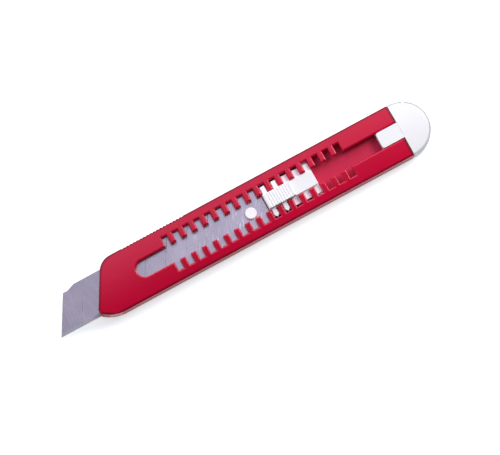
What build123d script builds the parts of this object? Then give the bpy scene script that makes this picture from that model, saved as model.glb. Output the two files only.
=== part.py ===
"""Snap-off utility knife.

A one-piece handle with a toothed slot guides a scored blade on a sliding carrier. A sprung lock
tongue with a thumb pad holds the carrier at each notch, and an end cap closes the back.

Lengths are millimetres. X runs along the knife with the blade towards -X, the cutting edge faces
-Y, and +Z points out of the slotted face. The origin is the middle of the knife with the blade
part way out, on the surface that the knife lies on.
"""

import os
from math import radians, tan

from build123d import *

# Handle
side_wall = 3.0
floor_wall = 3.7
channel_depth = 2.7
face_wall = 1.6
face_crown = 0.8
edge_radius = 0.4
rear_edge_chamfer = 0.35
nose_angle = 60.0
nose_length = 18.4
upper_nose_radius = 8.0
lower_cut_run = 9.1
lower_cut_rise = 4.3
lower_nose_radius = 2.2
lower_cut_radius = 14.0

# Slot and its two rows of notches
slot_width = 7.5
slot_front_length = 17.2
notch_pitch = 5.2
notch_count = 17
notch_width = 2.65
notch_margin = 1.25
rear_length = 27.3
slot_edge_radius = 0.7

# Grip scallops in the +Y edge
grip_count = 19
grip_pitch = 1.6
grip_radius = 0.7
grip_depth = 0.35
grip_front_gap = 18.0

# Blade
blade_width = 18.0
blade_length = 103.3
blade_thickness = 0.5
grind_width = 1.5
edge_land = 0.06
spine_step_drop = 1.35
spine_step_length = 2.3
spine_ramp_length = 3.5
score_pitch = 10.0
unscored_length = 32.0
score_width = 0.22
score_depth = 0.06

# Blade carrier
peg_offset = -0.8
peg_height = 1.4
peg_edge_radius = 0.3
peg_to_tail = 7.3
peg_front_margin = 5.6
rail_width = 0.65
hinge_bar_length = 3.0
tail_gap = 0.4

# Lock tongue
front_notch_count = 9
lock_teeth = 2
tooth_height = 0.9
tooth_point = 1.1
tooth_overhang = 0.6
tongue_length = 23.6
tongue_plate = 0.8
tooth_setback = 1.7
pad_length = 12.8
pad_rise = 3.0
heel_rise = 1.0
pad_edge_radius = 0.35
rib_count = 9
rib_pitch = 1.2
rib_depth = 0.22
rib_radius = 0.4
knuckle_radius = 0.75
knuckle_drop = 0.25

# End cap
cap_straight = 0.9
cap_edge_radius = 1.1
key_corner_radius = 1.0
key_drop = 0.1
nick_angle = 60.0
nick_width = 0.9
nick_depth = 1.4
nick_floor = 2.5

# Clearances
blade_side_clearance = 0.2
blade_face_clearance = 0.15
blade_headroom = 1.2
hole_clearance = 0.25
carrier_clearance = 0.2
carrier_floor_clearance = 0.1
rail_gap = 1.35
tooth_clearance = 0.325
tongue_gap = 0.2
pad_clearance = 0.4
peg_clearance = 0.45
knuckle_clearance = 0.08
plug_clearance = 0.15
key_clearance = 0.15
cap_gap = 0.15
stop_gap = 0.3

# Half widths across the knife
channel_half = blade_width / 2 + blade_side_clearance
half_width = channel_half + side_wall
notch_reach = channel_half - notch_margin
carrier_half = channel_half - carrier_clearance
rail_inner = carrier_half - rail_width
tongue_half = rail_inner - rail_gap
pad_half = slot_width / 2 - pad_clearance
peg_radius = slot_width / 2 - abs(peg_offset) - peg_clearance
tooth_half = notch_width / 2 - tooth_clearance
cap_radius = half_width

# Heights above the surface that the knife lies on
channel_floor = floor_wall
face_underside = channel_floor + channel_depth
handle_thickness = face_underside + face_wall
blade_top = face_underside - blade_headroom
blade_seat = blade_top - blade_thickness
carrier_bottom = channel_floor + carrier_floor_clearance
tongue_top = face_underside - tongue_gap
tongue_bottom = tongue_top - tongue_plate
hinge_z = tongue_bottom - knuckle_drop

# Stations along X, all measured from the first notch, which is placed to centre the knife
comb_length = (notch_count - 1) * notch_pitch
first_tooth_from_notch = front_notch_count * notch_pitch
tip_from_notch = first_tooth_from_notch - tooth_setback - tail_gap - blade_length
cap_end_from_notch = comb_length + rear_length + cap_gap + cap_straight + cap_radius
first_notch_x = -(tip_from_notch + cap_end_from_notch) / 2

rear_x = first_notch_x + comb_length + rear_length
slot_front_x = first_notch_x - slot_front_length
mouth_x = slot_front_x - nose_length
first_tooth_x = first_notch_x + first_tooth_from_notch
tongue_front_x = first_tooth_x - tooth_setback
tongue_rear_x = tongue_front_x + tongue_length
tail_x = tongue_front_x - tail_gap
tip_x = tail_x - blade_length
peg_x = tail_x - peg_to_tail
carrier_front_x = peg_x - peg_front_margin
hinge_x = tongue_rear_x - hinge_bar_length / 2

# Travel of the carrier, in whole notches each way
extend_travel = front_notch_count * notch_pitch
retract_travel = (notch_count - lock_teeth - front_notch_count) * notch_pitch
channel_front_x = carrier_front_x - extend_travel - stop_gap
plug_front_x = tongue_rear_x + retract_travel + stop_gap

slant = 1 / tan(radians(nose_angle))
overcut = 5.0


def block(x_range, y_range, z_range, mode=Mode.ADD):
    """A square-edged block between two values on each axis, added to or cut from the open part."""
    size_x = x_range[1] - x_range[0]
    size_y = y_range[1] - y_range[0]
    with BuildSketch(Plane.XY.offset(z_range[0])) as outline:
        with Locations(((x_range[0] + x_range[1]) / 2, (y_range[0] + y_range[1]) / 2)):
            Rectangle(size_x, size_y)
    extrude(outline.sketch, amount=z_range[1] - z_range[0], mode=mode)


def both_sides(half):
    """The Y range from -half to +half."""
    return (-half, half)


def crowned_bar(front_x, back_x):
    """A bar of the handle's section, whose face is a shallow arch, between two X stations."""
    shoulder = handle_thickness - face_crown
    with BuildSketch(Plane.YZ.offset(front_x)) as section:
        with BuildLine():
            Polyline((-half_width, shoulder), (-half_width, 0), (half_width, 0), (half_width, shoulder))
            ThreePointArc((half_width, shoulder), (0, handle_thickness), (-half_width, shoulder))
        make_face()
    extrude(section.sketch, amount=back_x - front_x)


def slanted_x(y):
    """X of the handle's slanted front edge at the width y."""
    return mouth_x + y * slant


os.makedirs("parts", exist_ok=True)

# Handle: a slant-nosed bar with a blade channel, a toothed slot and grip scallops
with BuildPart() as handle:
    cut_top = (slanted_x(lower_cut_rise - half_width), lower_cut_rise - half_width)
    cut_rear = (slanted_x(-half_width) + lower_cut_run, -half_width)
    upper_corner = (slanted_x(half_width), half_width)
    crowned_bar(slanted_x(-half_width), rear_x)
    with BuildSketch() as bar_outline:
        with BuildLine():
            Polyline(
                (rear_x, -half_width),
                (rear_x, half_width),
                upper_corner,
                cut_top,
                cut_rear,
                close=True,
            )
        make_face()
        fillet(bar_outline.vertices().sort_by_distance(upper_corner)[0], upper_nose_radius)
        fillet(bar_outline.vertices().sort_by_distance(cut_top)[0], lower_nose_radius)
        fillet(bar_outline.vertices().sort_by_distance(cut_rear)[0], lower_cut_radius)
    extrude(amount=handle_thickness, mode=Mode.INTERSECT)

    # Rounded long edges and nose, with a fine chamfer round the rear end
    rims = handle.faces().sort_by(Axis.Z)[-1].edges() + handle.faces().sort_by(Axis.Z)[0].edges()
    fillet([e for e in rims if e.center().X < rear_x - edge_radius], edge_radius)
    chamfer(handle.faces().sort_by(Axis.X)[-1].edges(), rear_edge_chamfer)

    # Carrier channel, open at the rear end, and the thin blade guide in the nose
    rear_cut = rear_x + overcut
    channel_width = both_sides(channel_half)
    block((channel_front_x, rear_cut), channel_width, (channel_floor, face_underside), Mode.SUBTRACT)
    guide_front = slanted_x(-half_width) - overcut
    guide_heights = (blade_seat - blade_face_clearance, blade_top + blade_face_clearance)
    block((guide_front, channel_front_x), channel_width, guide_heights, Mode.SUBTRACT)

    # Slot with a round front end and a row of notches on each side, down to the blade
    with BuildSketch(Plane.XY.offset(blade_top)):
        slot_middle = (slot_front_x + slot_width / 2 + rear_cut) / 2
        with Locations((slot_middle, 0)):
            Rectangle(rear_cut - slot_front_x - slot_width / 2, slot_width)
        with Locations((slot_front_x + slot_width / 2, 0)):
            Circle(slot_width / 2)
        with Locations((first_notch_x + comb_length / 2, 0)):
            with GridLocations(notch_pitch, 1, notch_count, 1):
                Rectangle(notch_width, 2 * notch_reach)
    extrude(amount=handle_thickness - blade_top, mode=Mode.SUBTRACT)

    # Rounded edges along the slot and its notches
    face_edges = handle.faces().sort_by(Axis.Z)[-1].edges()
    slot_edges = [
        e
        for e in face_edges
        if abs(e.center().Y) < notch_reach + slot_edge_radius
        and slot_front_x - slot_edge_radius < e.center().X < rear_x - 2 * rear_edge_chamfer
    ]
    fillet(slot_edges, slot_edge_radius)

    # Grip scallops
    grip_middle = first_notch_x - grip_front_gap + (grip_count - 1) * grip_pitch / 2
    with BuildSketch():
        with Locations((grip_middle, half_width + grip_radius - grip_depth)):
            with GridLocations(grip_pitch, 1, grip_count, 1):
                Circle(grip_radius)
    extrude(amount=handle_thickness, mode=Mode.SUBTRACT)
handle.part.label = "handle_body"
export_step(handle.part, "parts/handle_body.step")

# Blade: a ground strip cut to the slanted, stepped outline, with scored snap lines and a peg hole
with BuildPart() as blade:
    blade_middle = blade_seat + blade_thickness / 2
    spine = blade_width / 2
    with BuildSketch(Plane.YZ.offset(tip_x)):
        with BuildLine():
            Polyline(
                (-spine, blade_middle - edge_land / 2),
                (grind_width - spine, blade_seat),
                (spine, blade_seat),
                (spine, blade_top),
                (grind_width - spine, blade_top),
                (-spine, blade_middle + edge_land / 2),
                close=True,
            )
        make_face()
    extrude(amount=blade_length)

    step_y = spine - spine_step_drop
    step_front = tip_x + (step_y + spine) * slant
    step_rear = step_front + spine_step_length
    with BuildSketch(Plane.XY.offset(blade_seat)):
        with BuildLine():
            Polyline(
                (tip_x, -spine),
                (step_front, step_y),
                (step_rear, step_y),
                (step_rear + spine_ramp_length, spine),
                (tail_x, spine),
                (tail_x, -spine),
                close=True,
            )
        make_face()
    extrude(amount=blade_thickness, mode=Mode.INTERSECT)

    with BuildSketch(Plane.XY.offset(blade_seat)):
        with Locations((peg_x, peg_offset)):
            Circle(peg_radius + hole_clearance)
    extrude(amount=blade_thickness, mode=Mode.SUBTRACT)

    # Each score is a V groove along a line parallel to the front edge
    score_way = Vector(1, 0, 0).rotate(Axis.Z, nose_angle)
    score_count = int((blade_length - unscored_length) / score_pitch)
    for number in range(1, score_count + 1):
        foot = Vector(tip_x + spine * slant + number * score_pitch, 0, blade_top)
        with BuildSketch(Plane(origin=foot, x_dir=score_way.cross(Vector(0, 0, 1)), z_dir=score_way)):
            with BuildLine():
                Polyline(
                    (-score_width / 2, 0),
                    (0, score_depth),
                    (score_width / 2, 0),
                    (0, -score_depth),
                    close=True,
                )
            make_face()
        extrude(amount=blade_width, both=True, mode=Mode.SUBTRACT)
blade.part.label = "blade"
export_step(blade.part, "parts/blade.step")

# Carrier: a plate with the blade's peg, two side rails and a bar that cradles the tongue's knuckle
with BuildPart() as carrier:
    block((carrier_front_x, tail_x), both_sides(carrier_half), (carrier_bottom, blade_seat))
    for side in (-1, 1):
        rail_range = sorted((side * rail_inner, side * carrier_half))
        block((tail_x, tongue_rear_x), rail_range, (carrier_bottom, tongue_top))
    bar_front_x = tongue_rear_x - hinge_bar_length
    block((bar_front_x, tongue_rear_x), both_sides(carrier_half), (carrier_bottom, hinge_z))
    with BuildSketch(Plane.XZ.offset(-rail_inner)):
        with Locations((hinge_x, hinge_z)):
            Circle(knuckle_radius + knuckle_clearance)
    extrude(amount=2 * rail_inner, mode=Mode.SUBTRACT)

    with BuildSketch(Plane.XY.offset(blade_seat)):
        with Locations((peg_x, peg_offset)):
            Circle(peg_radius)
    extrude(amount=blade_thickness + peg_height)
    fillet(carrier.edges().group_by(Axis.Z)[-1], peg_edge_radius)
carrier.part.label = "slide_carrier"
export_step(carrier.part, "parts/slide_carrier.step")

# Lock tongue: a thin plate on a knuckle, with two pairs of lock teeth, a ribbed pad and a low heel
with BuildPart() as tongue:
    block((tongue_front_x, tongue_rear_x), both_sides(tongue_half), (tongue_bottom, tongue_top))
    with BuildSketch(Plane.XZ.offset(-tongue_half)):
        with Locations((hinge_x, hinge_z)):
            Circle(knuckle_radius)
    extrude(amount=2 * tongue_half)

    # Lock teeth stand up into the notches, and on the cutting-edge side they end in an overhanging point
    tooth_tip = -tongue_half - tooth_overhang
    for number in range(lock_teeth):
        tooth_x = first_tooth_x + number * notch_pitch
        with BuildSketch(Plane.XY.offset(tongue_top)):
            with BuildLine():
                Polyline(
                    (tooth_x - tooth_half, tongue_half),
                    (tooth_x + tooth_half, tongue_half),
                    (tooth_x + tooth_half, tooth_tip + tooth_point),
                    (tooth_x, tooth_tip),
                    (tooth_x - tooth_half, tooth_tip + tooth_point),
                    close=True,
                )
            make_face()
        extrude(amount=tooth_height)

    # Thumb pad with its rounded rim, then the lower heel behind it
    pad_rear_x = tongue_front_x + pad_length
    block((tongue_front_x, pad_rear_x), both_sides(pad_half), (tongue_top, tongue_top + pad_rise))
    fillet(tongue.edges().group_by(Axis.Z)[-1], pad_edge_radius)
    block((pad_rear_x, tongue_rear_x), both_sides(pad_half), (tongue_top, tongue_top + heel_rise))

    # Cross ribs are what is left between round grooves in the pad
    groove_middle = (tongue_front_x + pad_rear_x) / 2
    groove_height = tongue_top + pad_rise + rib_radius - rib_depth
    with BuildSketch(Plane.XZ.offset(-pad_half)):
        with Locations((groove_middle, groove_height)):
            with GridLocations(rib_pitch, 1, rib_count, 1):
                Circle(rib_radius)
    extrude(amount=2 * pad_half, mode=Mode.SUBTRACT)
tongue.part.label = "lock_tongue"
export_step(tongue.part, "parts/lock_tongue.step")

# End cap: a rounded end with a plug for the channel and a key that fills the open end of the slot
with BuildPart() as cap:
    cap_front_x = rear_x + cap_gap
    cap_centre_x = cap_front_x + cap_straight
    crowned_bar(cap_front_x, cap_centre_x + cap_radius)
    with BuildSketch():
        with Locations(((cap_front_x + cap_centre_x) / 2, 0)):
            Rectangle(cap_straight, 2 * half_width)
        with Locations((cap_centre_x, 0)):
            Circle(cap_radius)
    extrude(amount=handle_thickness, mode=Mode.INTERSECT)
    rims = cap.faces().sort_by(Axis.Z)[-1].edges() + cap.faces().sort_by(Axis.Z)[0].edges()
    fillet([e for e in rims if e.center().X > cap_front_x + cap_straight / 4], cap_edge_radius)

    plug_half = channel_half - plug_clearance
    plug_heights = (channel_floor + plug_clearance, face_underside - plug_clearance)
    block((plug_front_x, cap_centre_x), both_sides(plug_half), plug_heights)
    key_half = slot_width / 2 - key_clearance
    key_middle_x = (plug_front_x + cap_centre_x) / 2
    with BuildSketch(Plane.XY.offset(plug_heights[0])) as key_outline:
        with Locations((key_middle_x, 0)):
            Rectangle(cap_centre_x - plug_front_x, 2 * key_half)
        fillet(key_outline.vertices().group_by(Axis.X)[0], key_corner_radius)
    extrude(amount=handle_thickness - key_drop - plug_heights[0])

    # Small notch in the rim
    nick_way = Vector(1, 0, 0).rotate(Axis.Z, nick_angle)
    nick_centre = Vector(cap_centre_x, 0, nick_floor) + nick_way * cap_radius
    with BuildSketch(Plane(origin=nick_centre, x_dir=nick_way, z_dir=(0, 0, 1))):
        Rectangle(2 * nick_depth, nick_width)
    extrude(amount=handle_thickness - nick_floor, mode=Mode.SUBTRACT)
cap.part.label = "end_cap"
export_step(cap.part, "parts/end_cap.step")

overall = cap_centre_x + cap_radius - tip_x
print(f"overall {overall:.1f} mm, handle from x {mouth_x:.2f} to {rear_x:.2f}")
print(f"travel: extend {extend_travel:.1f} mm, retract {retract_travel:.1f} mm")
print(f"tongue hinge at x {hinge_x:.3f}, z {hinge_z:.3f}")
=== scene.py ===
# %% [markdown]
# # A snap-off utility knife
# The knife has a crimson moulded handle, a scored steel blade, a white slide with a thumb pad, and a
# white end cap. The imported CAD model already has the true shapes, so nothing is modelled twice: this
# lesson loads that model as a fixed frame and gives it a camera, a studio and finishes.

from math import cos, radians, sin, tan

import bmesh
import bpy
from mathutils import Matrix, Vector


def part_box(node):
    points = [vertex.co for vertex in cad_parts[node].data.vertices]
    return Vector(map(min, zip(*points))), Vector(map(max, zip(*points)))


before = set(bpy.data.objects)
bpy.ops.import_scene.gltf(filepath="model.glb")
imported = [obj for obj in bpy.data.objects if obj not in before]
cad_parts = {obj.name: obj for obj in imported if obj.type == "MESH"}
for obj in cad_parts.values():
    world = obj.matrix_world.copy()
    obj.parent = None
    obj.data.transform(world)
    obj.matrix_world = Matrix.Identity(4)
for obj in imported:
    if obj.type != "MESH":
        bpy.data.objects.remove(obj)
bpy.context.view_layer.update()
MM = 0.001
print("nodes:", sorted(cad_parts))

# %% [markdown]
# ## Camera
# The knife lies flat and is seen almost straight from above, turned so that its blade points to the
# lower left. Its long edges stay parallel in the picture, which means a long lens far away. The camera
# leans a little towards the bottom of the picture, so the lower side wall just shows. The place is
# worked out from a turn, a lean and a distance, because those three are easy to adjust.

# %% Place the camera
PICTURE_TURN = radians(28.80)
CAMERA_LEAN = radians(10.9)
CAMERA_DISTANCE = 1.7695
CAMERA_LENS = 300
SENSOR_WIDTH = 36
AIM = Vector((1.42, -6.10, 7.0)) * MM

picture_right = Vector((cos(PICTURE_TURN), -sin(PICTURE_TURN), 0))
picture_up = Vector((sin(PICTURE_TURN), cos(PICTURE_TURN), 0))
towards_camera = Vector((0, 0, cos(CAMERA_LEAN))) - picture_up * sin(CAMERA_LEAN)

camera_data = bpy.data.cameras.new("camera")
camera_data.lens = CAMERA_LENS
camera_data.sensor_width = SENSOR_WIDTH
camera = bpy.data.objects.new("camera", camera_data)
camera_axes = Matrix((picture_right, towards_camera.cross(picture_right), towards_camera)).transposed()
camera.matrix_world = Matrix.Translation(AIM + towards_camera * CAMERA_DISTANCE) @ camera_axes.to_4x4()
bpy.context.scene.collection.objects.link(camera)
bpy.context.scene.camera = camera
print("camera at", [round(x, 3) for x in camera.matrix_world.translation])

# %% [markdown]
# ## Studio
# The knife lies on a white sheet. One soft lamp stands beyond the cap's end, at the top right of the
# picture, so edges that face it shine and the key throws a shadow into the slot. Most of the light is
# softer and comes from the room around. The sheet lies a hair below the flat back, because two faces
# in one plane would flicker where they meet.

# %% Lay the sheet
bpy.context.scene.view_settings.view_transform = "Standard"
SHEET_HALF = 3.0
SHEET_DROP = Vector((0, 0, -0.02)) * MM

sheet_shape = bmesh.new()
bmesh.ops.create_grid(sheet_shape, x_segments=1, y_segments=1, size=SHEET_HALF)
bmesh.ops.translate(sheet_shape, verts=sheet_shape.verts, vec=SHEET_DROP)
sheet_mesh = bpy.data.meshes.new("paper_sheet")
sheet_shape.to_mesh(sheet_mesh)
sheet_shape.free()
sheet = bpy.data.objects.new("paper_sheet", sheet_mesh)
bpy.context.scene.collection.objects.link(sheet)
print("sheet:", 2 * SHEET_HALF, "m wide")

# %% [markdown]
# Finishes and the room's light are made of shader nodes. Nodes could be added and linked one at a time,
# but that takes many lines. Small helpers that add a node or do a sum let each finish below read as a
# recipe.

# %% Helpers for nodes and sums


def new_node(tree, kind, **settings):
    """Adds a shader node, with its settings given by name."""
    node = tree.nodes.new(kind)
    for name, value in settings.items():
        setattr(node, name, value)
    return node


def math_node(tree, operation, *values):
    """The result of a sum on values, each a socket or a plain number."""
    node = new_node(tree, "ShaderNodeMath", operation=operation)
    for socket, value in zip(node.inputs, values):
        if hasattr(value, "node"):
            tree.links.new(value, socket)
        else:
            socket.default_value = value
    return node.outputs[0]


def vector_node(tree, operation, first, second, result="Vector"):
    """The result of a vector sum on a socket and a fixed vector."""
    node = new_node(tree, "ShaderNodeVectorMath", operation=operation)
    node.inputs[1].default_value = second
    tree.links.new(first, node.inputs[0])
    return node.outputs[result]


print("helpers for nodes and sums ready")

# %% [markdown]
# Two more helpers turn a value into a look. One maps a value onto a range, such as a noise onto a range
# of roughness. The other blends two tones by a value. A noise could reach from 0 to 1, but most of it
# lies near the middle, so only that middle part is mapped.

# %% Helpers for ranges and tones
NOISE_RANGE = (0.3, 0.7)
MASK_RANGE = (0, 1)


def spread(tree, value, low, high, source=NOISE_RANGE):
    """Maps a value from its source range onto low to high."""
    node = new_node(tree, "ShaderNodeMapRange")
    node.inputs["From Min"].default_value = source[0]
    node.inputs["From Max"].default_value = source[1]
    node.inputs["To Min"].default_value = low
    node.inputs["To Max"].default_value = high
    tree.links.new(value, node.inputs["Value"])
    return node.outputs["Result"]


def two_tone(tree, value, first, second):
    """A blend from one tone to another, each a socket or a plain colour."""
    node = new_node(tree, "ShaderNodeMix", data_type="RGBA")
    tree.links.new(value, node.inputs["Factor"])
    colours = [socket for socket in node.inputs if socket.type == "RGBA"]
    for socket, tone in zip(colours, (first, second)):
        if hasattr(tone, "node"):
            tree.links.new(tone, socket)
        else:
            socket.default_value = (*tone, 1)
    return next(socket for socket in node.outputs if socket.type == "RGBA")


print("part of a noise that is mapped:", NOISE_RANGE)

# %% [markdown]
# The paper is plain and matt. Stronger lamps would make it white in the picture, but they would wash
# out the red handle too. So the sheet has a glow that only camera, mirror and see-through rays meet: it
# looks white, but throws no more light on the knife, and the shadow still shows. The paper is a trace
# cool, against the warmth that the handle throws into its own shadow.

# %% Paper finish
PAPER_TONE = (0.78, 0.83, 0.815)
PAPER_ROUGHNESS = 0.9
PAPER_SHEEN = 0.1
PAPER_GLOW_TONE = (0.98, 1.02, 1.01)
PAPER_GLOW = 0.58

paper = bpy.data.materials.new("white_paper")
paper.use_nodes = True
paper_tree = paper.node_tree
paper_shader = paper_tree.nodes["Principled BSDF"]
paper_shader.inputs["Base Color"].default_value = (*PAPER_TONE, 1)
paper_shader.inputs["Roughness"].default_value = PAPER_ROUGHNESS
paper_shader.inputs["Specular IOR Level"].default_value = PAPER_SHEEN
paper_shader.inputs["Emission Color"].default_value = (*PAPER_GLOW_TONE, 1)
ray = new_node(paper_tree, "ShaderNodeLightPath")
seen = math_node(paper_tree, "ADD", ray.outputs["Is Camera Ray"], ray.outputs["Is Glossy Ray"])
seen = math_node(paper_tree, "ADD", seen, ray.outputs["Is Transmission Ray"])
glow = math_node(paper_tree, "MULTIPLY", seen, PAPER_GLOW)
paper_tree.links.new(glow, paper_shader.inputs["Emission Strength"])
sheet_mesh.materials.append(paper)
print("paper glow:", PAPER_GLOW)

# %% [markdown]
# The lamp's place is an angle round from the top of the picture, a height and a distance. A sun lamp
# would light both ends of the knife alike. This one is a disk that stands close, so the cap's end of the
# handle is a little brighter than the nose. It is low enough for the key to throw a shadow a few
# millimetres long, and wide enough for that shadow to be soft.

# %% Lamp
LAMP_ROUND = radians(50)
LAMP_HEIGHT = radians(41)
LAMP_DISTANCE = 0.48
LAMP_SIZE = 0.18
LAMP_POWER = 1.06

lamp_data = bpy.data.lights.new("soft_lamp", "AREA")
lamp_data.shape = "DISK"
lamp_data.size = LAMP_SIZE
lamp_data.energy = LAMP_POWER
lamp = bpy.data.objects.new("soft_lamp", lamp_data)
along_table = picture_up * cos(LAMP_ROUND) + picture_right * sin(LAMP_ROUND)
towards_lamp = along_table * cos(LAMP_HEIGHT) + Vector((0, 0, sin(LAMP_HEIGHT)))
lamp.location = towards_lamp * LAMP_DISTANCE
lamp.rotation_euler = towards_lamp.to_track_quat("Z", "Y").to_euler()
bpy.context.scene.collection.objects.link(lamp)
print("lamp at", [round(x, 3) for x in lamp.location])

# %% [markdown]
# The room around is a world background. A panorama of a real room could light the knife, but all that
# shows of it here is a tint on the polished blade, so two colours that blend with height are enough. The
# walls are a trace violet, and the ceiling that the blade mirrors is more so.

# %% Room colours
CEILING_RISE = (0.68, 0.86)
WALL_COLOUR = (1, 0.975, 1.10)
CEILING_COLOUR = (1.08, 0.99, 1.34)

room = bpy.data.worlds.new("studio_room")
bpy.context.scene.world = room
room.use_nodes = True
room_tree = room.node_tree
background = room_tree.nodes["Background"]
looking = new_node(room_tree, "ShaderNodeTexCoord").outputs["Generated"]
looking_up = vector_node(room_tree, "DOT_PRODUCT", looking, (0, 0, 1), "Value")
ceiling = spread(room_tree, looking_up, 0, 1, CEILING_RISE)
room_colour = two_tone(room_tree, ceiling, WALL_COLOUR, CEILING_COLOUR)
room_tree.links.new(room_colour, background.inputs["Color"])
print("room colours: walls", WALL_COLOUR, "and ceiling", CEILING_COLOUR)

# %% [markdown]
# The room is bright beyond the top of the picture, dimmer on the left and dim behind the camera. Lit
# panels could stand there, but the glossy handle would mirror their hard edges. So each bright side is a
# smooth patch of the background, round a direction a little above the table's level. Straight overhead
# stays darker, because the face of the handle would mirror it and lose its red.

# %% Bright sides of the room
BRIGHT_SIDES = ((picture_up, 1.95), (-picture_right, 0.85), (-picture_up, 0.15))
SIDE_LIFT = Vector((0, 0, 0.3))
SIDE_FADE = 0.25


def bright_side(direction, strength):
    """A patch of light, full in one direction and gone about 75 degrees away from it."""
    middle = (direction + SIDE_LIFT).normalized()
    facing = vector_node(room_tree, "DOT_PRODUCT", looking, middle, "Value")
    patch = new_node(room_tree, "ShaderNodeMapRange", interpolation_type="SMOOTHSTEP")
    patch.inputs["From Min"].default_value = SIDE_FADE
    patch.inputs["To Max"].default_value = strength
    room_tree.links.new(facing, patch.inputs["Value"])
    return patch.outputs["Result"]


room_level = 0
for direction, strength in BRIGHT_SIDES:
    room_level = math_node(room_tree, "ADD", room_level, bright_side(direction, strength))
room_tree.links.new(room_level, background.inputs["Strength"])
print("room:", len(BRIGHT_SIDES), "bright sides, the brightest beyond the top of the picture")

# %% [markdown]
# ## Finishes
# Every finish reads Object coordinates, which are metres in the knife's own frame. Generated coordinates
# would stretch with each piece's box. With these, a pattern of a given scale has a real size on every
# piece: a noise of scale 1000 has grains about 1 mm wide.

# %% Helpers that start a finish


def start_finish(name):
    """A new material with its tree, its shader and the Object coordinates."""
    material = bpy.data.materials.new(name)
    material.use_nodes = True
    tree = material.node_tree
    coordinates = new_node(tree, "ShaderNodeTexCoord").outputs["Object"]
    return material, tree, tree.nodes["Principled BSDF"], coordinates


def split_place(tree, coordinates):
    """The X, Y and Z of a point, as sockets by name."""
    node = new_node(tree, "ShaderNodeSeparateXYZ")
    tree.links.new(coordinates, node.inputs["Vector"])
    return node.outputs


print("helpers that start a finish ready")

# %% [markdown]
# Moulded plastic and ground steel have a fine grain, and no real edge is perfectly sharp. Both are far
# too small to model here, so a bump gives the grain and a bevel node softens the edges in the shading
# alone. Plastic also lets some light in, and each colour goes as far as its own reach.

# %% Helpers for grain, edges and light within
SOFT_DETAIL = 3.0
FINE_DETAIL = 2.0
EDGE_SAMPLES = 6


def grain(tree, coordinates, scale, detail=SOFT_DETAIL):
    """A noise value from 0 to 1, with one scale or a scale for each of X, Y and Z."""
    mapping = new_node(tree, "ShaderNodeMapping")
    mapping.inputs["Scale"].default_value = scale if hasattr(scale, "__len__") else (scale,) * 3
    noise = new_node(tree, "ShaderNodeTexNoise")
    noise.inputs["Scale"].default_value = 1.0
    noise.inputs["Detail"].default_value = detail
    tree.links.new(coordinates, mapping.inputs["Vector"])
    tree.links.new(mapping.outputs["Vector"], noise.inputs["Vector"])
    return noise.outputs["Fac"]


def raise_grain(tree, shader, value, depth, edge_radius):
    """Bumps a grain of a real depth over edges that are rounded by a small radius."""
    edge = new_node(tree, "ShaderNodeBevel", samples=EDGE_SAMPLES)
    edge.inputs["Radius"].default_value = edge_radius
    bump = new_node(tree, "ShaderNodeBump")
    bump.inputs["Strength"].default_value = 1.0
    bump.inputs["Distance"].default_value = depth
    tree.links.new(value, bump.inputs["Height"])
    tree.links.new(edge.outputs["Normal"], bump.inputs["Normal"])
    tree.links.new(bump.outputs["Normal"], shader.inputs["Normal"])


def let_light_in(shader, share, reach, colour_reach):
    """Lets a share of the light into a plastic, with a share of the reach for each colour."""
    shader.inputs["Subsurface Weight"].default_value = share
    shader.inputs["Subsurface Radius"].default_value = colour_reach
    shader.inputs["Subsurface Scale"].default_value = reach


print("helpers for grain, edges and light within ready")

# %% [markdown]
# ### Painted edge shade
# The outer edges of the face are painted a shade darker than the flat of it: painted shade, where the
# rounded edge turns away from the light. That line could be painted by hand, but here it comes from the
# outline itself: each straight edge gives a depth inside it, the smallest depth counts, and the nose's
# large upper corner is rounded off by a smooth minimum.
# The nose's lower corner is rounded too, so its two edges meet a little in front of the handle's box.

# %% Find the edges of painted shade
NOSE_ANGLE = radians(60)
NOSE_ROUNDING = 6.4 * MM
NOSE_SETBACK = 0.75 * MM
LOWER_CUT = Vector((6.62, -4.3, 0)) * MM
EDGE_SHADE_WIDTH = (0.45 * MM, 1.1 * MM)
EDGE_SHADE_HEIGHT = (7.05 * MM, 7.15 * MM)
handle_low, handle_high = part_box("handle_body")


def depth_inside(tree, coordinates, point, outwards):
    """How far a place lies inside a straight edge through a point."""
    beyond = vector_node(tree, "DOT_PRODUCT", coordinates, outwards, "Value")
    return math_node(tree, "SUBTRACT", outwards.dot(point), beyond)


def outline_depth(tree, coordinates):
    """How far a place lies inside the handle's outline."""
    nose_corner = Vector((handle_low.x - NOSE_SETBACK, handle_low.y - LOWER_CUT.y, 0))
    nose_outwards = Vector((-sin(NOSE_ANGLE), cos(NOSE_ANGLE), 0))
    nose_front = depth_inside(tree, coordinates, nose_corner, nose_outwards)
    upper_edge = depth_inside(tree, coordinates, handle_high, Vector((0, 1, 0)))
    depth = math_node(tree, "SMOOTH_MIN", upper_edge, nose_front, NOSE_ROUNDING)
    other_edges = (
        (nose_corner, Vector((LOWER_CUT.y, -LOWER_CUT.x, 0)).normalized()),
        (handle_low, Vector((0, -1, 0))),
        (handle_high, Vector((1, 0, 0))),
    )
    for point, outwards in other_edges:
        depth = math_node(tree, "MINIMUM", depth, depth_inside(tree, coordinates, point, outwards))
    return depth


def painted_edge_shade(tree, depth, height):
    """1 in a narrow line of painted shade along the outer edge of the face."""
    near_edge = spread(tree, depth, 1, 0, EDGE_SHADE_WIDTH)
    on_face = spread(tree, height, 0, 1, EDGE_SHADE_HEIGHT)
    return math_node(tree, "MULTIPLY", near_edge, on_face)


print("handled line:", round(EDGE_SHADE_WIDTH[1] / MM, 2), "mm wide")
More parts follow.
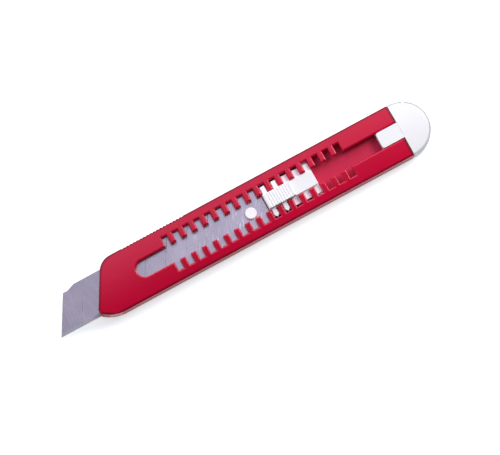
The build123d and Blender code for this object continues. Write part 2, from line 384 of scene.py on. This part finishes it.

# %% [markdown]
# ### Crimson plastic
# The channel and the walls of the slot are matt, and are painted paler than the skin: painted light that
# lifts the shade down in the recess. Those faces could be given a second material, but the handle is one
# CAD piece and keeps its single slot. So a mask by place finds the inside: near the middle line, behind
# the nose, and between the back and the face.

# %% Find the channel
CHANNEL_HALF = 9.2 * MM
CHANNEL_FRONT = -50 * MM
CHANNEL_HEIGHTS = (1.0 * MM, 7.2 * MM)
CHANNEL_FADE = 0.2 * MM


def within_channel(tree, place):
    """1 on the channel's floor and side walls and on the walls of the slot, below the face."""
    low, high = CHANNEL_HEIGHTS
    across = math_node(tree, "ABSOLUTE", place["Y"])
    narrow = spread(tree, across, 1, 0, (CHANNEL_HALF, CHANNEL_HALF + CHANNEL_FADE))
    behind = spread(tree, place["X"], 0, 1, (CHANNEL_FRONT, CHANNEL_FRONT + CHANNEL_FADE))
    above = spread(tree, place["Z"], 0, 1, (low, low + CHANNEL_FADE))
    below = spread(tree, place["Z"], 1, 0, (high, high + CHANNEL_FADE))
    along = math_node(tree, "MULTIPLY", narrow, behind)
    return math_node(tree, "MULTIPLY", along, math_node(tree, "MULTIPLY", above, below))


print("channel:", round(2 * CHANNEL_HALF / MM, 1), "mm wide")

# %% [markdown]
# The skin is glossy and not quite even in tone, and the outer side walls are a little less polished than
# the face. Some light passes through the plastic, red much further than green and blue, so thin walls
# glow where they turn away from the lamp. One plain colour would do from far away. Two close tones that
# are blended by a soft noise look more like a moulding.

# %% Crimson plastic
SKIN_TONES = ((0.50, 0.0008, 0.026), (0.55, 0.0014, 0.032))
INSIDE_PAINTED_LIGHT_TONES = ((0.56, 0.003, 0.046), (0.62, 0.004, 0.056))
EDGE_SHADE_TONE = (0.20, 0.0006, 0.012)
CLOUD_SCALE = 45
SKIN_GLOSS = (0.20, 0.24)
SKIN_GLOSS_SCALE = 260
SKIN_SHEEN = 0.38
INSIDE_MATT = 0.3
SIDE_MATT = 0.2
SIDE_SKIN = (0.03 * MM, 0.1 * MM)
CRIMSON_LIGHT = {"share": 0.2, "reach": 1.5 * MM, "colour_reach": (1, 0.05, 0.1)}
SKIN_GRAIN_SCALE = 1800
SKIN_GRAIN_DEPTH = 0.002 * MM
HANDLE_EDGE_RADIUS = 0.18 * MM


def crimson_plastic():
    """The handle's plastic: glossy skin, painted shade along the edges and a matt inside painted paler.
    """
    material, tree, shader, coordinates = start_finish("crimson_plastic")
    place = split_place(tree, coordinates)
    depth = outline_depth(tree, coordinates)
    inside = within_channel(tree, place)
    cloud = spread(tree, grain(tree, coordinates, CLOUD_SCALE), 0, 1)
    skin = two_tone(tree, cloud, *SKIN_TONES)
    # Painted shade: a darker tone along the outer edges of the face.
    skin = two_tone(tree, painted_edge_shade(tree, depth, place["Z"]), skin, EDGE_SHADE_TONE)
    # Painted light: the inside takes paler tones against the shade in the recess.
    tone = two_tone(tree, inside, skin, two_tone(tree, cloud, *INSIDE_PAINTED_LIGHT_TONES))
    tree.links.new(tone, shader.inputs["Base Color"])
    roughness = spread(tree, grain(tree, coordinates, SKIN_GLOSS_SCALE), *SKIN_GLOSS)
    roughness = math_node(tree, "ADD", roughness, spread(tree, inside, 0, INSIDE_MATT, MASK_RANGE))
    roughness = math_node(tree, "ADD", roughness, spread(tree, depth, SIDE_MATT, 0, SIDE_SKIN))
    tree.links.new(roughness, shader.inputs["Roughness"])
    shader.inputs["Specular IOR Level"].default_value = SKIN_SHEEN
    let_light_in(shader, **CRIMSON_LIGHT)
    skin_grain = grain(tree, coordinates, SKIN_GRAIN_SCALE, FINE_DETAIL)
    raise_grain(tree, shader, skin_grain, SKIN_GRAIN_DEPTH, HANDLE_EDGE_RADIUS)
    return material


handle_crimson = crimson_plastic()
print("crimson plastic:", len(handle_crimson.node_tree.nodes), "nodes")

# %% [markdown]
# ### Blade steel
# Score lines cross the strip where its segments snap off, and they are painted darker, as painted shade
# in their grooves. The stretch that rubs under the face is scratched. Both follow the slanted front
# edge, which has the same slant as the nose. A stripe texture that is turned to this slant could draw
# the scores, but here both come from one value: how far along the blade a place lies behind its front
# edge.
# So the first score is one pitch behind that edge.

# %% Lines and scratches on the blade
EDGE_SLANT = 1 / tan(NOSE_ANGLE)
SCORE_PITCH = 10 * MM
SCORE_EDGE = (0.09 * MM, 0.13 * MM)
SCORED_LENGTH = 75 * MM
SCORED_FADE = 1 * MM
SCRATCH_SCALE = (2200, 160, 1)
SCRATCH_EDGE = (0.58, 0.70)
RUBBED = (50 * MM, 75 * MM)
blade_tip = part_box("blade")[0]


def distance_behind_edge(tree, coordinates):
    """How far along the blade a place lies behind the slanted front edge."""
    from_tip = vector_node(tree, "SUBTRACT", coordinates, blade_tip)
    return vector_node(tree, "DOT_PRODUCT", from_tip, (1, -EDGE_SLANT, 0), "Value")


def score_lines(tree, behind_edge):
    """1 along each score and 0 between the scores and on the plain tail."""
    nearest = math_node(tree, "WRAP", behind_edge, SCORE_PITCH / 2, -SCORE_PITCH / 2)
    line = spread(tree, math_node(tree, "ABSOLUTE", nearest), 1, 0, SCORE_EDGE)
    scored = spread(tree, behind_edge, 1, 0, (SCORED_LENGTH, SCORED_LENGTH + SCORED_FADE))
    return math_node(tree, "MULTIPLY", line, scored)


def rubbed_scratches(tree, behind_edge, width_place):
    """1 in fine scratches, parallel to the scores, on the stretch that rubs under the face."""
    slanted = new_node(tree, "ShaderNodeCombineXYZ")
    tree.links.new(behind_edge, slanted.inputs["X"])
    tree.links.new(width_place, slanted.inputs["Y"])
    streaks = grain(tree, slanted.outputs["Vector"], SCRATCH_SCALE, FINE_DETAIL)
    scratches = spread(tree, streaks, 0, 1, SCRATCH_EDGE)
    return math_node(tree, "MULTIPLY", scratches, spread(tree, behind_edge, 0, 1, RUBBED))


print("scores every", round(SCORE_PITCH / MM, 1), "mm")

# %% [markdown]
# The strip is ground across its width and then polished, so it mirrors the slot's dark walls and the
# ceiling. Fine hairlines run across it, and the cutting edge is left matt. Towards the tail, the lamp's
# end, the steel is painted brighter as painted light. A painted picture could hold all that, but it
# would blur when seen close. Here each mark is a mask that lays its own tone over the one before, and
# two of the masks take away polish too.

# %% Blade steel
HAIRLINE_SCALE = (6000, 150, 1000)
HAIRLINE_SHARE = 0.35
HAIRLINE_DEPTH = 0.001 * MM
GRIND_WIDTH = 1.5 * MM
GRIND_FADE = 0.05 * MM
PAINTED_LIGHT_ALONG = (5 * MM, 85 * MM)
GROUND_AND_SHADED_STEEL = (0.60, 0.595, 0.61)
BRIGHT_STEEL = (0.90, 0.89, 0.91)
SCRATCHED_STEEL = (0.99, 0.98, 1.0)
SCORE_SHADE_STEEL = (0.46, 0.455, 0.465)
POLISH = (0.22, 0.30)
POLISH_SCALE = 90
SCRATCH_MATT = 0.2
GROUND_MATT = 0.32
BLADE_EDGE_RADIUS = 0.06 * MM


def blade_steel():
    """The blade's steel: hairlines, a ground edge, scratches and scores."""
    material, tree, shader, coordinates = start_finish("blade_steel")
    place = split_place(tree, coordinates)
    behind_edge = distance_behind_edge(tree, coordinates)
    hairlines = grain(tree, coordinates, HAIRLINE_SCALE, FINE_DETAIL)
    scratched = rubbed_scratches(tree, behind_edge, place["Y"])
    grind_top = blade_tip.y + GRIND_WIDTH
    ground = spread(tree, place["Y"], 1, 0, (grind_top - GRIND_FADE, grind_top + GRIND_FADE))
    # Painted light: the steel grows brighter along the blade towards the lamp's end.
    painted_lamp_light = spread(tree, behind_edge, 0, 1 - HAIRLINE_SHARE, PAINTED_LIGHT_ALONG)
    bright = math_node(tree, "ADD", spread(tree, hairlines, 0, HAIRLINE_SHARE), painted_lamp_light)
    tone = two_tone(tree, bright, GROUND_AND_SHADED_STEEL, BRIGHT_STEEL)
    tone = two_tone(tree, ground, tone, GROUND_AND_SHADED_STEEL)
    tone = two_tone(tree, scratched, tone, SCRATCHED_STEEL)
    # Painted shade: the score grooves take a darker steel.
    tone = two_tone(tree, score_lines(tree, behind_edge), tone, SCORE_SHADE_STEEL)
    tree.links.new(tone, shader.inputs["Base Color"])
    shader.inputs["Metallic"].default_value = 1.0
    roughness = spread(tree, grain(tree, coordinates, POLISH_SCALE), *POLISH)
    for mask, matt in ((scratched, SCRATCH_MATT), (ground, GROUND_MATT)):
        roughness = math_node(tree, "ADD", roughness, spread(tree, mask, 0, matt, MASK_RANGE))
    tree.links.new(roughness, shader.inputs["Roughness"])
    raise_grain(tree, shader, hairlines, HAIRLINE_DEPTH, BLADE_EDGE_RADIUS)
    return material


polished_steel = blade_steel()
print("blade steel:", len(polished_steel.node_tree.nodes), "nodes")

# %% [markdown]
# ### White plastic
# The slide and the cap are white mouldings that let a trace of light in. They differ in tone and gloss
# alone, so one recipe makes both, and each hands it a function that works out the tone by place.

# %% White plastic
WHITE_GLOSS_SCALE = 300
WHITE_LIGHT = {"share": 0.1, "reach": 0.6 * MM, "colour_reach": (1, 1, 1)}
WHITE_GRAIN_SCALE = 2000
WHITE_GRAIN_DEPTH = 0.005 * MM
WHITE_EDGE_RADIUS = 0.15 * MM


def white_plastic(name, tone_by_place, gloss):
    """A white moulding with its own tones and a range of gloss."""
    material, tree, shader, coordinates = start_finish(name)
    tree.links.new(tone_by_place(tree, coordinates), shader.inputs["Base Color"])
    roughness = spread(tree, grain(tree, coordinates, WHITE_GLOSS_SCALE), *gloss)
    tree.links.new(roughness, shader.inputs["Roughness"])
    let_light_in(shader, **WHITE_LIGHT)
    white_grain = grain(tree, coordinates, WHITE_GRAIN_SCALE, FINE_DETAIL)
    raise_grain(tree, shader, white_grain, WHITE_GRAIN_DEPTH, WHITE_EDGE_RADIUS)
    return material


print("white grain:", round(WHITE_GRAIN_DEPTH / MM, 3), "mm deep")

# %% [markdown]
# The slide's pad and heel are painted a touch greyer than its teeth down in the notches, and the grooves
# between the pad's ribs are painted whiter: painted light that lifts the shade down in the notches and
# grooves, and painted shade on the tops that the lamp lights most. The tops could be painted face by
# face, but tones that change with height do it at once.

# %% Painted light and shade on the slide's white
PAINTED_LIGHT_WHITE = (0.97, 0.975, 0.95)
TOP_SHADED_WHITE = (0.865, 0.88, 0.83)
SLIDE_GLOSS = (0.40, 0.50)
TOP_HEIGHT = (7.12 * MM, 7.18 * MM)
GROOVE_HEIGHT = (8.85 * MM, 8.90 * MM)
RIB_HEIGHT = (9.10 * MM, 9.18 * MM)


def painted_light_tone(tree, coordinates):
    """Whiter down low and in the grooves as painted light, greyer on the pad's ribs and the heel as
    painted shade.
    """
    height = split_place(tree, coordinates)["Z"]
    # Painted light and shade: the tone changes with height alone, against the shade in the notches.
    tone = PAINTED_LIGHT_WHITE
    rises = ((TOP_HEIGHT, TOP_SHADED_WHITE), (GROOVE_HEIGHT, PAINTED_LIGHT_WHITE), (RIB_HEIGHT, TOP_SHADED_WHITE))
    for rise, next_tone in rises:
        tone = two_tone(tree, spread(tree, height, 0, 1, rise), tone, next_tone)
    return tone


slide_white = white_plastic("slide_white", painted_light_tone, SLIDE_GLOSS)
print("slide white:", len(slide_white.node_tree.nodes), "nodes")

# %% [markdown]
# The cap's round rim is painted grey: painted shade of its rounded edge, deepest at the corner where the
# light is strongest, to hold that light back. The shade could be painted on too, but the rim is easily
# found by its distance from the cap's centre, and the corner by how far a place lies towards it. The
# centre is as far in from the cap's end as the cap is half wide.

# %% Painted rim shade on the cap's white
CAP_WHITE = (0.83, 0.845, 0.80)
CAP_GLOSS = (0.30, 0.38)
CAP_RIM = (11.2 * MM, 11.6 * MM)
RIM_SHADE_CORNER = (0.77, 0.64, 0)
RIM_SHADE_REACH = (-8 * MM, 12 * MM)
LIGHT_RIM_SHADE = (0.80, 0.80, 0.80)
DEEP_RIM_SHADE = (0.33, 0.33, 0.33)
cap_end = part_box("end_cap")[1]
cap_centre = Vector((cap_end.x - cap_end.y, 0, 0))


def rim_shade_tone(tree, coordinates):
    """White, with painted shade in grey along the round rim."""
    from_centre = vector_node(tree, "SUBTRACT", coordinates, cap_centre)
    outwards = vector_node(tree, "MULTIPLY", from_centre, (1, 1, 0))
    distance = new_node(tree, "ShaderNodeVectorMath", operation="LENGTH")
    tree.links.new(outwards, distance.inputs[0])
    rim = spread(tree, distance.outputs["Value"], 0, 1, CAP_RIM)
    towards_corner = vector_node(tree, "DOT_PRODUCT", outwards, RIM_SHADE_CORNER, "Value")
    # Painted shade: the rim greys most towards the corner where the light is strongest.
    rim_shade = spread(tree, towards_corner, 0, 1, RIM_SHADE_REACH)
    return two_tone(tree, rim, CAP_WHITE, two_tone(tree, rim_shade, LIGHT_RIM_SHADE, DEEP_RIM_SHADE))


cap_white = white_plastic("cap_white", rim_shade_tone, CAP_GLOSS)
print("cap white:", len(cap_white.node_tree.nodes), "nodes")

# %% [markdown]
# ## Dress the pieces
# Each CAD piece keeps its shape and place, and only the material in its slot changes. The carrier and
# the lock tongue are one white moulding on the real knife, so they share a finish.

# %% Put the finishes on the pieces
finishes = {
    "handle_body": handle_crimson,
    "blade": polished_steel,
    "slide_carrier": slide_white,
    "lock_tongue": slide_white,
    "end_cap": cap_white,
}
for node, finish in finishes.items():
    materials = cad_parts[node].data.materials
    materials.clear()
    materials.append(finish)
print("finished:", ", ".join(finishes))
